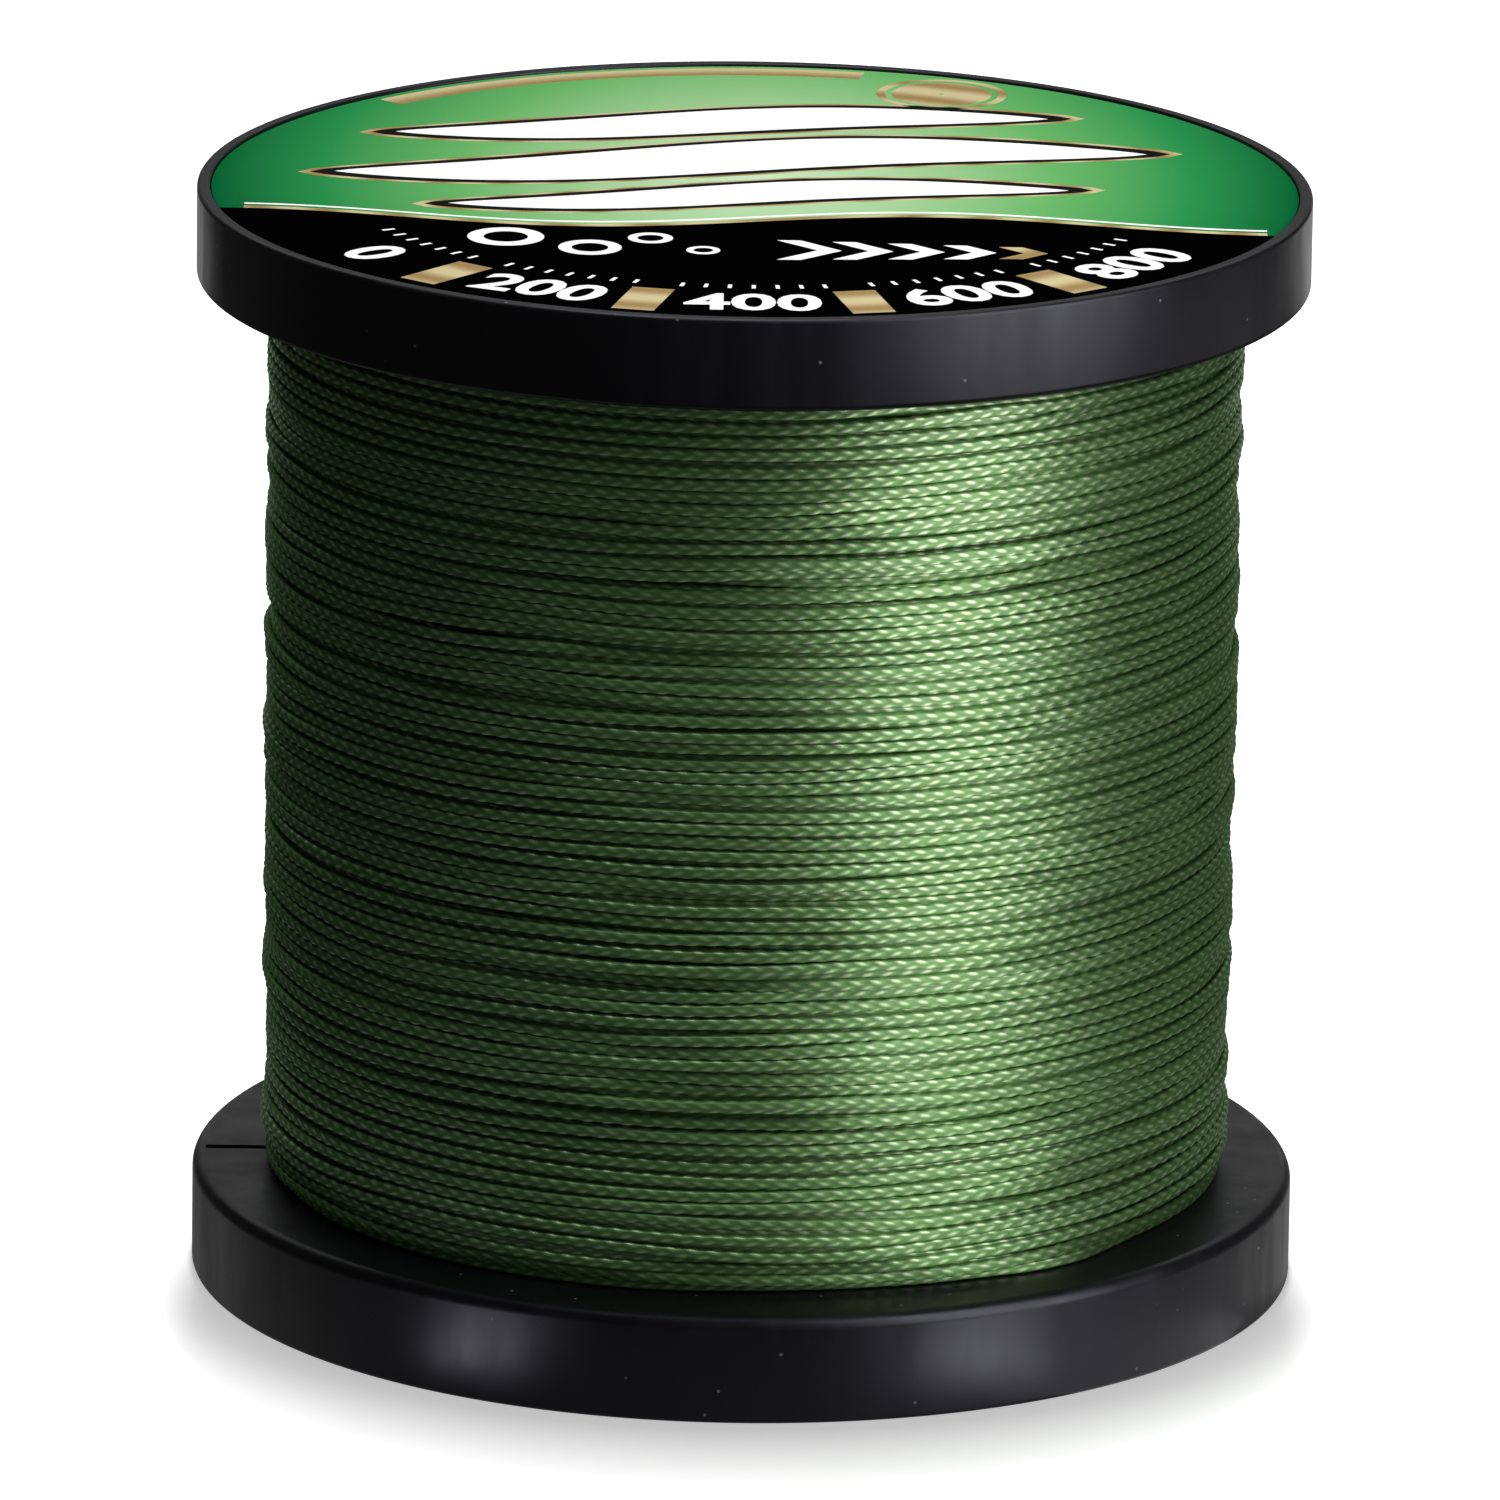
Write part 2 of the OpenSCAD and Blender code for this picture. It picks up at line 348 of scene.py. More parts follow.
# %% Black ABS, injection-moulded and satin
def moulded_black_abs(name, colour, roughness):
    """Satin black plastic with a fine mould grain, dull upright smears, dust and scratches."""
    # Fine grain scatters blue a little more than red, so the sheen on carbon black is cool
    finish = {"IOR": 1.53, "Specular IOR Level": 0.22, "Specular Tint": linear("#edeeff")}
    material, tree, shader = new_material(name, finish)
    place = add_node(tree, "TexCoord", output="Object")
    # The mould's spark-eroded grain is about 0.03 mm; it is drawn at 0.12 mm, the least that shows
    grain = add_node(tree, "TexNoise", {"Scale": 1 / (0.12 * MM), "Detail": 2.0}, {"Vector": place})
    # Smears from wiping and from stacking: upright, some 5 mm wide and nearly 30 mm long
    long_place = add_node(tree, "Mapping", {"Scale": (1, 1, 0.18)}, {"Vector": place})
    wiped = {"Scale": 1 / (5 * MM), "Detail": 4.0, "Roughness": 0.6}
    smears = add_node(tree, "TexNoise", wiped, {"Vector": long_place})
    gloss = {"From Min": 0.3, "From Max": 0.7, "To Min": roughness - 0.06, "To Max": roughness + 0.1}
    smear_gloss = add_node(tree, "MapRange", gloss, {"Value": smears})
    # Dust: specks of 0.2 to 0.3 mm, at most one in each cell of 3 mm
    cells = {"Scale": 1 / (3 * MM), "feature": "F1", "Randomness": 1.0}
    dust = add_node(tree, "TexVoronoi", cells, {"Vector": place}, "Distance")
    near = {"From Min": 0.06, "From Max": 0.03, "To Min": 0.0, "To Max": 0.5}
    speck = add_node(tree, "MapRange", near, {"Value": dust})
    # Scratches: hair-fine and some 3 mm long, specks drawn out along one slanting direction
    slanting = {"vector_type": "TEXTURE", "Rotation": (1.2, 0.5, 0), "Scale": (1, 1, 20)}
    drawn_out = add_node(tree, "Mapping", slanting, {"Vector": place})
    cells = {"Scale": 1 / (4 * MM), "feature": "F1"}
    scratches = add_node(tree, "TexVoronoi", cells, {"Vector": drawn_out}, "Distance")
    near = {"From Min": 0.022, "From Max": 0.012, "To Min": 0.0, "To Max": 0.2}
    scratch = add_node(tree, "MapRange", near, {"Value": scratches})
    marks = add_node(tree, "Math", {"operation": "MAXIMUM"}, {0: speck, 1: scratch})
    shades = {"data_type": "RGBA", 6: linear(colour), 7: linear("#6d6e75")}
    body = add_node(tree, "Mix", shades, {0: marks}, 2)
    bump = add_node(tree, "Bump", {"Strength": 0.25, "Distance": 0.01 * MM}, {"Height": grain})
    set_node(shader, {}, {"Base Color": body, "Roughness": smear_gloss, "Normal": bump})
    return material


flange_plastic = moulded_black_abs("moulded_black_abs", "#050506", 0.36)

# %% [markdown]
# The half section follows the moulding: up the bore, out along the web, round the outer edge, down
# the skirt and back inside. Both flanges share it. They differ in height, and the lower one's edge
# beside the line is rounded more, where hands and shelves wear it. The upper one is turned over.

# %% Flange section
arbor_r = 5.0 * MM
boss_wall = 3.0 * MM
web_t = 2.0 * MM
skirt_t = 1.2 * MM
ledge_w = 1.2 * MM
ledge_h = 2.0 * MM
lower_edge_r = 1.2 * MM
upper_edge_r = 0.6 * MM
rim_edge_r = 0.4 * MM
rim_lip_r = 0.25 * MM
spigot_r = 17.75 * MM
spigot_wall = 2.0 * MM
spigot_len = 6.0 * MM
turning_steps = 512
flange_sharp_angle = 35


def flange_section(height, edge_r):
    """Closed half section of a flange that stands on its rim, with the line above it."""
    under_web = height - web_t
    step_r = spool_r - skirt_t - ledge_w
    return (
        [(arbor_r, ledge_h), (arbor_r, height)]
        + [(spigot_r - spigot_wall, height), (spigot_r - spigot_wall, height + spigot_len)]
        + [(spigot_r, height + spigot_len), (spigot_r, height)]
        + [(core_r, height)]
        + arc(spool_r - edge_r, height - edge_r, edge_r, 90, 0, 12)
        + arc(spool_r - rim_edge_r, rim_edge_r, rim_edge_r, 0, -90, 8)
        + arc(spool_r - skirt_t + rim_lip_r, rim_lip_r, rim_lip_r, 270, 180, 6)
        + [(spool_r - skirt_t, ledge_h), (step_r, ledge_h), (step_r, under_web)]
        + [(arbor_r + boss_wall, under_web), (arbor_r + boss_wall, ledge_h)]
    )


def turn_flange(name, height, edge_r, turned_over):
    """One flange as a finely turned mesh."""
    section = flange_section(height, edge_r)
    if turned_over:
        section = [(r, spool_h - z) for r, z in reversed(section)]
    points, quads = turned_mesh(section, turning_steps)
    piece = make_piece(name, points, quads[:, ::-1], flange_plastic, flange_sharp_angle)
    print(f"{name}: {len(quads)} faces")
    return piece


upper_flange = turn_flange("upper_flange_moulding", upper_flange_t, upper_edge_r, True)
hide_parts("upper_flange")
lower_flange = turn_flange("lower_flange_moulding", lower_flange_t, lower_edge_r, False)
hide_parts("lower_flange")


# %% [markdown]
# The lower flange has one straight slit through its web, from the core out to the skirt, where the
# line's inner end goes through. A boolean cut is the simplest way to a slit with parallel sides in a
# round mesh. The rounded edge keeps its shading, because the cut stops where the rounding begins.

# %% Slit in the lower flange
slit_w = 1.1 * MM
slit_in_r = core_r + 0.1 * MM
slit_out_r = spool_r - skirt_t
# The cutter stands out of the web on both sides, so that the cut goes clean through
cutter_spare = 0.5 * MM


def cut_box(piece, low, high):
    """Cuts a box between two corners out of a piece."""
    cutter_mesh = bpy.data.meshes.new("cutter")
    shape = bmesh.new()
    bmesh.ops.create_cube(shape, size=1)
    shape.to_mesh(cutter_mesh)
    shape.free()
    cutter = add_object("cutter", cutter_mesh)
    size = Vector(high) - Vector(low)
    place = Matrix.Translation((Vector(low) + Vector(high)) / 2)
    cutter.matrix_world = place @ Matrix.Diagonal((*size, 1))
    cut = piece.modifiers.new("slit", "BOOLEAN")
    cut.operation = "DIFFERENCE"
    cut.solver = "EXACT"
    cut.object = cutter
    bpy.context.view_layer.update()
    evaluated = piece.evaluated_get(bpy.context.evaluated_depsgraph_get())
    mesh = bpy.data.meshes.new_from_object(evaluated)
    piece.modifiers.clear()
    piece.data = mesh
    bpy.data.objects.remove(cutter)
    return mesh


slit_low = (-slit_out_r, -slit_w / 2, lower_flange_t - web_t - cutter_spare)
slit_high = (-slit_in_r, slit_w / 2, lower_flange_t + cutter_spare)
lower_mesh = cut_box(lower_flange, slit_low, slit_high)
lower_mesh.set_sharp_from_angle(angle=math.radians(flange_sharp_angle))
# A net shades the lower flange from above, and the small lamps reach nothing but this flange
aim_light(top, "EXCLUDE", lower_flange)
for lamp in (edge_light, cards["left_lamp"], cards["right_lamp"], cards["table_glow"]):
    aim_light(lamp, "INCLUDE", lower_flange)
print("lower flange after the cut:", len(lower_mesh.polygons), "faces")

# %% [markdown]
# ## Core tube and covers
# These hold the spool together and hardly show: the tube under all the line, and the covers behind
# the labels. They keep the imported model's own meshes and only need their real finish, an extruded
# and a die-cut plastic.

# %% Finish of the hidden plastics
tube_plastic = moulded_black_abs("extruded_grey_abs", "#2b2b2f", 0.5)
cover_plastic = moulded_black_abs("die_cut_black_hips", "#1a1a1d", 0.45)


def dress(node_name, material):
    """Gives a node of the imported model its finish."""
    slots = nodes[node_name].data.materials
    slots.clear()
    slots.append(material)


dress("core_tube", tube_plastic)
dress("lower_cover", cover_plastic)
dress("upper_cover", cover_plastic)

# %% [markdown]
# ## Labels: the film
# The upper label is a polypropylene film, printed and then laminated matt. Its ground is a green
# field that fades from deep green at the sides to pale green in the middle, above a black front part
# with a wavy edge. A colour ramp and one sine give both, which keeps the fade perfectly even, as a
# printed one is. The bold shapes on it are laid over the film as thin ink, so that their edges stay
# sharp from close by.

# %% Printed film
tide_y = -12.5 * MM
tide_swing = 2.6 * MM
tide_length = 62 * MM


def printed_film(name, stops, front_edge):
    """Laminated film, its field coloured by stops and black in front of y = front_edge."""
    # A soft-touch laminate has hardly any sheen, so the black stays deep at a flat angle too
    material, tree, shader = new_material(name, {"IOR": 1.49, "Roughness": 0.42, "Specular IOR Level": 0})
    place = add_node(tree, "TexCoord", output="Object")
    # The pale glow is an ellipse, longer from front to back
    ellipse = {"Location": (0, -0.08, 0), "Scale": (1 / label_r, 0.6 / label_r, 0)}
    squeezed = add_node(tree, "Mapping", ellipse, {"Vector": place})
    glow = add_node(tree, "VectorMath", {"operation": "LENGTH"}, {0: squeezed}, "Value")
    field = add_node(tree, "ValToRGB", {}, {0: glow})
    ramp = field.node.color_ramp
    for number, (position, colour) in enumerate(stops):
        stop = ramp.elements[number] if number < 2 else ramp.elements.new(position)
        stop.position = position
        stop.color = linear(colour)
    x, y, _ = add_node(tree, "SeparateXYZ", {}, {0: place}).node.outputs
    phase = add_node(tree, "Math", {"operation": "MULTIPLY", 1: 2 * math.pi / tide_length}, {0: x})
    wave = add_node(tree, "Math", {"operation": "SINE"}, {0: phase})
    swung = {"operation": "MULTIPLY_ADD", 1: tide_swing, 2: front_edge}
    edge = add_node(tree, "Math", swung, {0: wave})
    in_front = add_node(tree, "Math", {"operation": "LESS_THAN"}, {0: y, 1: edge})
    black = {"data_type": "RGBA", 7: linear("#020202")}
    ground = add_node(tree, "Mix", black, {0: in_front, 6: field}, 2)
    # Laminate is never quite flat: ripples of 6 mm, about a hundredth of a millimetre high
    ripple = add_node(tree, "TexNoise", {"Scale": 1 / (6 * MM), "Detail": 1.0}, {"Vector": place})
    bump = add_node(tree, "Bump", {"Strength": 0.3, "Distance": 0.03 * MM}, {"Height": ripple})
    set_node(shader, {}, {"Base Color": ground, "Normal": bump})
    return material


green_stops = [(0.0, "#adc7a6"), (1.0, "#07522a"), (0.30, "#8bb080"), (0.55, "#5a9a58"), (0.8, "#237a40")]
upper_film = printed_film("laminated_polypropylene_film", green_stops, tide_y)
dress("upper_label", upper_film)
deep_stops = [(0.0, "#3f8f4d"), (1.0, "#0b5a30"), (0.5, "#1f7a42")]
# The lower label has no black part, so the wavy edge is put well in front of the disc
lower_film = printed_film("matt_polypropylene_film", deep_stops, -2 * label_r)
dress("lower_label", lower_film)


# %% [markdown]
# ## Labels: the print
# The print is a plain seascape with a dial in front of it: three white waves with black and gold
# outlines, a gold sun and a gold arc on the green, and numbers, gold bars, bubbles and chevrons on
# the black. Each shape is a closed slab a few hundredths of a millimetre thick. Rings are turned,
# outlines are extruded, and the numbers come from Blender's own font.

# %% Inks
def printed_ink(name, colour, pale_colour, metallic):
    """A layer of ink whose colour swings between two shades, as a foil print's does."""
    finish = {"IOR": 1.49, "Roughness": 0.34, "Specular IOR Level": 0.01, "Metallic": metallic}
    material, tree, shader = new_material(name, finish)
    place = add_node(tree, "TexCoord", output="Object")
    # A foil's shades come round every 5.7 mm; this node draws its rings at a third of its scale
    foil = {"Scale": 1 / (18 * MM), "wave_type": "RINGS", "rings_direction": "Z", "wave_profile": "SIN"}
    bands = add_node(tree, "TexWave", foil, {"Vector": place}, "Fac")
    # The ink's own mottle is 0.4 mm
    mottle = add_node(tree, "TexNoise", {"Scale": 1 / (0.4 * MM), "Detail": 2.0}, {"Vector": place})
    mix = add_node(tree, "Math", {"operation": "MULTIPLY_ADD", 1: 0.25}, {0: mottle, 2: bands})
    shades = {"data_type": "RGBA", 6: linear(colour), 7: linear(pale_colour)}
    body = add_node(tree, "Mix", shades, {0: mix}, 2)
    set_node(shader, {}, {"Base Color": body})
    return material


white_ink = printed_ink("white_screen_ink", "#dedede", "#ebebeb", 0)
black_ink = printed_ink("black_screen_ink", "#020202", "#050505", 0)
gold_ink = printed_ink("gold_foil_print", "#8b6d38", "#c3b58a", 0.25)

# %% Shapes of the print
ink_step = 0.012 * MM
print_sharp_angle = 20


def slab(outline, low_z, top_z):
    """Points and faces of a closed slab over an outline of (x, y) points."""
    count = len(outline)
    points = [(x, y, top_z) for x, y in outline] + [(x, y, low_z) for x, y in outline]
    faces = [tuple(range(count)), tuple(reversed(range(count, 2 * count)))]
    for k in range(count):
        n = (k + 1) % count
        faces.append((k, k + count, n + count, n))
    return points, faces


def ring_slab(inner_r, outer_r, low_z, top_z, centre=(0, 0)):
    """Points and faces of a closed flat ring about a centre."""
    section = [(inner_r, low_z), (outer_r, low_z), (outer_r, top_z), (inner_r, top_z)]
    points, quads = turned_mesh(section, 192)
    points = points + np.array([*centre, 0])
    return [tuple(p) for p in points], [tuple(reversed(q)) for q in quads]


def sector_outline(inner_r, outer_r, start, end):
    """Outline of a part of a ring between two angles in degrees."""
    angles = np.radians(np.linspace(start, end, 49))
    outer, inner = ([(r * math.cos(a), r * math.sin(a)) for a in angles] for r in (outer_r, inner_r))
    return outer + inner[::-1]


def tide_outline(low, high):
    """Outline of a strip along the wavy edge, from low to high behind it."""
    x = np.linspace(-45.5, 45.5, 121) * MM
    y = tide_y + tide_swing * np.sin(2 * math.pi * x / tide_length)
    return list(zip(x, y + low)) + list(zip(x, y + high))[::-1]


def chevron_outline(x, y, half_height, width):
    """Outline of one chevron that points to the right."""
    near = [(x, y - half_height), (x + width, y - half_height)]
    tip = [(x + width + half_height, y), (x + width, y + half_height)]
    return near + tip + [(x, y + half_height), (x + half_height, y)]


def bar_outline(angle, inner_r, outer_r, width):
    """Outline of a bar that lies along a radius."""
    along = np.array([math.cos(angle), math.sin(angle)])
    across = np.array([-along[1], along[0]]) * width / 2
    corners = [inner_r * along - across, outer_r * along - across]
    corners += [outer_r * along + across, inner_r * along + across]
    return [tuple(c) for c in corners]


def wave_outline(middle_y, swing, half_width, half_length, grow):
    """Outline of a wave that tapers to both ends, made larger all round by grow."""
    x = np.linspace(-1, 1, 61)
    taper = (1 - x**2) ** 0.8
    centre = middle_y + swing * np.sin(2.6 * x + 0.5) * (1 - 0.3 * x**2)
    half = half_width * taper + grow * taper**0.4
    long_x = x * (half_length + 2.2 * grow)
    return list(zip(long_x, centre - half)) + list(zip(long_x, centre + half))[::-1]


def print_piece(name, shapes, material):
    """One piece of ink from several slabs."""
    points = []
    faces = []
    for shape_points, shape_faces in shapes:
        start = len(points)
        points += shape_points
        faces += [tuple(k + start for k in face) for face in shape_faces]
    mesh = bpy.data.meshes.new(name)
    mesh.from_pydata(points, [], faces)
    shape = bmesh.new()
    shape.from_mesh(mesh)
    bmesh.ops.triangulate(shape, faces=[f for f in shape.faces if len(f.verts) > 4])
    bmesh.ops.recalc_face_normals(shape, faces=shape.faces)
    shape.to_mesh(mesh)
    shape.free()
    piece = finish_piece(name, mesh, material, print_sharp_angle)
    print(f"{name}: {len(shapes)} shapes")


def number_shape(text, height, angle, radius, top_z):
    """Points and faces of a number that stands on a circle, its foot towards the rim."""
    curve = bpy.data.curves.new("number", "FONT")
    curve.body = text
    # A figure of this font is 0.7 of its size high; the offset makes its strokes bolder
    curve.size = height / 0.7
    curve.align_x = "CENTER"
    curve.align_y = "CENTER"
    curve.offset = 0.035 * height
    curve.extrude = ink_step
    curve.resolution_u = 4
    holder = add_object("number", curve)
    bpy.context.view_layer.update()
    mesh = bpy.data.meshes.new_from_object(holder.evaluated_get(bpy.context.evaluated_depsgraph_get()))
    bpy.data.objects.remove(holder)
    turn = Matrix.Rotation(angle + math.pi / 2, 4, "Z")
    move = Matrix.Translation((radius * math.cos(angle), radius * math.sin(angle), top_z))
    mesh.transform(move @ turn)
    shape = ([tuple(v.co) for v in mesh.vertices], [tuple(p.vertices) for p in mesh.polygons])
    bpy.data.meshes.remove(mesh)
    return shape


# %% Dial on the black part
number_h = 5.6 * MM
number_r = 42.7 * MM
dial_start = -142
number_step = 26
ticks_each = 8
ink_low = label_top_z - ink_step
ink_top = label_top_z + ink_step
white = [slab(tide_outline(1.5 * MM, 2.0 * MM), ink_low, ink_top)]
gold = [slab(tide_outline(0.0, 0.9 * MM), ink_low, ink_top)]
for number in range(5):
    degrees = dial_start + number_step * number
    text = str(200 * number)
    white.append(number_shape(text, number_h, math.radians(degrees), number_r, label_top_z))
    for tick in range(1, ticks_each):
        tick_angle = math.radians(degrees + number_step * (tick / ticks_each - 0.5))
        tick_line = bar_outline(tick_angle, 36.2 * MM, 37.4 * MM, 0.35 * MM)
        white.append(slab(tick_line, ink_low, ink_top))
for number in range(4):
    bar_angle = math.radians(dial_start + number_step * (number + 0.5))
    gold.append(slab(bar_outline(bar_angle, 38.8 * MM, 46.8 * MM, 3.8 * MM), ink_low, ink_top))

# Place and radius of each bubble in millimetres
bubbles = [(-22, -19.4, 3.4), (-14.5, -23, 2.8), (-9.2, -19.2, 2.0), (-4.5, -23.5, 1.5)]
for x, y, bubble_r in bubbles:
    centre = (x * MM, y * MM)
    white.append(ring_slab(0.58 * bubble_r * MM, bubble_r * MM, ink_low, ink_top, centre))
for number in range(5):
    chevron = chevron_outline((2 + 4.9 * number) * MM, -23 * MM, (3.6 - 0.35 * number) * MM, 2.1 * MM)
    (gold if number == 4 else white).append(slab(chevron, ink_low, ink_top))
print(len(white), "white shapes on the dial")

# %% Seascape on the green part
sun_centre = (17 * MM, 38.5 * MM)
gold.append(ring_slab(0.2 * MM, 4.6 * MM, ink_low, ink_top, sun_centre))
gold.append(ring_slab(5.2 * MM, 6.0 * MM, ink_low, ink_top, sun_centre))
gold.append(slab(sector_outline(45.2 * MM, 47.9 * MM, 78, 136), ink_low, ink_top))

tilt = math.radians(7)
# Middle, swing, half width and half length of each wave in millimetres
wave_sizes = [(25.5, 2.0, 4.3, 30), (11.0, 3.0, 5.6, 37), (-2.5, 2.0, 3.6, 28)]
# How far each ink reaches past the white, and how many steps above the film its top lies
outlines = {"gold": (1.5 * MM, 1), "black": (1.0 * MM, 2), "white": (0.0, 3)}
waves = {ink: [] for ink in outlines}
for wave_size in wave_sizes:
    for ink, (grow, layer) in outlines.items():
        outline = wave_outline(*(size * MM for size in wave_size), grow)
        turned = [
            (x * math.cos(tilt) - y * math.sin(tilt), x * math.sin(tilt) + y * math.cos(tilt))
            for x, y in outline
        ]
        waves[ink].append(slab(turned, ink_low, label_top_z + layer * ink_step))
print_piece("upper_label_white", white + waves["white"], white_ink)
print_piece("upper_label_gold", gold + waves["gold"], gold_ink)
print_piece("upper_label_black", waves["black"], black_ink)

# The lower label only has rings: two round its edge and two round the hole
under_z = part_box("lower_label")[0].z
rings = [(46.0, 47.2), (44.4, 44.9), (8.0, 9.2), (10.0, 10.4)]
ring_shapes = [ring_slab(a * MM, b * MM, under_z - ink_step, under_z + ink_step) for a, b in rings]
print_piece("lower_label_gold", ring_shapes, gold_ink)

# %% [markdown]
# ## Wound line: how it is laid
# On a winding machine a guide moves slowly to and fro while the spool turns, so each layer is a
# helix, and the next one crosses it the other way. The line is pulled taut: it slips into the groove
# between two turns below, climbs over a turn only where it must, and bridges straight from high spot
# to high spot. This is worked out here turn by turn, on a map round the spool of how far out the
# middle of the next turn has to lie. It looks like a real winding because it is laid like one, which
# no stack of rings or single helix would.

# %% Sizes of the winding
places = 360
step_angle = 2 * math.pi / places
guide_pitch = 1.27 * MM
layers = 6
seat_cell = 0.05 * MM
wound_r = 43.8 * MM
# The first of these layers lies on inner ones, which are not laid turn by turn
laid_depth = 4.6 * MM
low_z = line_low_z + line_d / 2
high_z = line_high_z - line_d / 2
layer_turns = (high_z - low_z) / guide_pitch
total_turns = int(layers * layer_turns)
# The line ends at the back, at +Y, and the angle of its start follows from that
end_angle = math.pi / 2
start_angle = end_angle - (total_turns * places - 1) * step_angle
seat_columns = int((high_z - low_z) / seat_cell) + 2
print(f"{total_turns} turns in {layers} layers of {layer_turns:.1f}")

# %% [markdown]
# The guide's own wobble, and slack and stick in the line, spread the turns unevenly. Smooth seeded
# noise stands for that: a slow part that lasts several turns, and quicker parts of a turn or two and
# within one turn, which make neighbouring grooves close up and open again.

# %% Path of the guide
random = np.random.default_rng(7)


def smooth_noise(count, knot_spacing):
    """Smooth random values about zero, with one free value every knot_spacing steps."""
    knots = random.normal(size=int(count / knot_spacing) + 5)
    x = np.arange(count) / knot_spacing + 1.5
    k = x.astype(int)
    f = x - k
    a, b, c, d = (knots[k + i] for i in (-1, 0, 1, 2))
    return 0.5 * ((2 * b) + (c - a) * f + (2 * a - 5 * b + 4 * c - d) * f**2 + (3 * b - a - 3 * c + d) * f**3)


look_ahead = 40
look_back = 30
station_count = total_turns * places + look_ahead
travel = np.arange(station_count) / places / layer_turns
triangle = 1 - np.abs((travel % 2) - 1)
if layers % 2 == 0:
    triangle = 1 - triangle
guide_z = low_z + (high_z - low_z) * triangle
# Size of each part of the wobble in millimetres, and how many turns it lasts
for wobble, lasting in ((0.09, 0.35), (0.16, 1.7), (0.20, 9)):
    guide_z += wobble * MM * smooth_noise(station_count, lasting * places)
guide_z = np.clip(guide_z, low_z, high_z)
print(f"guide from {1000 * guide_z.min():.1f} to {1000 * guide_z.max():.1f} mm up")

# %% [markdown]
# Three steps lay one turn. `seat_at` reads the map where the turn runs. `pull_taut` lifts it to the
# straight chords between its high spots; with u = 1 / r such a chord is a weighted sum of its two
# ends, so the whole turn is done at once. `slip` moves it sideways, down the slope of its seat,
# unless friction holds it, while its own tension keeps it from bending sharply.

# %% Laying one turn
def seat_at(seat, station, z):
    """The map's radius at some stations and heights."""
    x = np.clip((z - low_z) / seat_cell, 0, seat_columns - 1.001)
    k = x.astype(int)
    part = x - k
    return seat[station, k] * (1 - part) + seat[station, k + 1] * part


chord_spans = (1, 2, 3, 4, 6, 8, 11, 15, 20)


def pull_taut(r):
    """The least radii that carry a taut line over seats at radii r."""
    u = 1 / r
    for _ in range(2):
        taut = u.copy()
        for a in chord_spans:
            for b in chord_spans:
                ends = u[: -a - b] * math.sin(b * step_angle) + u[a + b :] * math.sin(a * step_angle)
                chord = ends / math.sin((a + b) * step_angle)
                np.minimum(taut[a : len(u) - b], chord, out=taut[a : len(u) - b])
        u = taut
    return 1 / u


friction = 0.12
station_step = wound_r * step_angle
slip_rate = 0.4 * station_step**2
slope_reach = 0.08 * MM
steepest = 2.5


def slip(seat, station, z, bearing, fixed, rounds):
    """Lets the line slip sideways where it bears on its seat."""
    for _ in range(rounds):
        rise = seat_at(seat, station, z + slope_reach) - seat_at(seat, station, z - slope_reach)
        slope = np.clip(rise / (2 * slope_reach), -steepest, steepest)
        bend = np.zeros_like(z)
        bend[1:-1] = (z[2:] - 2 * z[1:-1] + z[:-2]) / station_step**2
        push = bend - bearing * slope / wound_r
        move = np.sign(push) * np.maximum(np.abs(push) - bearing * friction / wound_r, 0)
        move[:fixed] = 0
        move[-2:] = 0
        z = np.clip(z + slip_rate * move, low_z, high_z)
    return z


# %% [markdown]
# Each turn laid raises the map beside it: another turn of the same thickness cannot come closer than
# one thickness, so it would ride on a circle of that radius about this turn's middle.

# %% Winding all the layers
def raise_seat(seat, station, z, r):
    """Adds one turn to the map of seats."""
    nearest = np.rint((z - low_z) / seat_cell).astype(int)
    reach = int(line_d / seat_cell) + 1
    for offset in range(-reach, reach + 1):
        column = nearest + offset
        inside = (column >= 0) & (column < seat_columns)
        across = low_z + column * seat_cell - z
        above = np.sqrt(np.maximum(line_d**2 - across**2, 0))
        inside &= above > 0
        s, c = station[inside], column[inside]
        seat[s, c] = np.maximum(seat[s, c], (r + above)[inside])


settling_stations = 25
slip_rounds = 45
touching = 0.03 * MM


def wind():
    """Lays every turn. Returns the line's radius and height at each station."""
    seat = np.full((places, seat_columns), wound_r - laid_depth)
    line_r = np.zeros(total_turns * places)
    line_z = np.zeros(total_turns * places)
    for turn in range(total_turns):
        back = look_back if turn else 0
        first = turn * places - back
        index = np.arange(first, (turn + 1) * places + look_ahead)
        station = index % places
        z = guide_z[index].copy()
        z[:back] = line_z[first : first + back]
        if back:
            # The guide's own place is reached gradually from where the last turn settled
            drift = z[back - 1] - guide_z[index[back - 1]]
            z[back:] += drift * np.exp(-np.arange(len(z) - back) / settling_stations)
        bearing = np.ones_like(z)
        for _ in range(4):
            z = slip(seat, station, z, bearing, back, slip_rounds)
            seats = seat_at(seat, station, z)
            seats[:back] = line_r[first : first + back]
            r = pull_taut(seats)
            bearing = (r - seats < touching).astype(float)
        r[1:-1] = 0.25 * r[:-2] + 0.5 * r[1:-1] + 0.25 * r[2:]
        new = slice(back, back + places)
        line_r[turn * places : (turn + 1) * places] = r[new]
        line_z[turn * places : (turn + 1) * places] = z[new]
        raise_seat(seat, station[new], z[new], r[new])
    return line_r, line_z


line_r, line_z = wind()
outer_turns = int(layer_turns)
outer = slice(-outer_turns * places, None)
print(f"outer layer's middle strays by {1000 * line_r[outer].std():.2f} mm as laid")

# %% [markdown]
# The winder's roller runs against the pile and keeps it even. A smooth surface over height and angle
# is fitted to the outer layer by least squares, and each turn is moved in or out by as much as this
# surface strays from the even form. The turns keep their places on one another, and only the small
# unevenness between neighbours is left.

# %% Levelling the pile
roller_sink = 0.38 * MM
pile_off_centre = 0.24 * MM
press_reach = 0.32 * MM


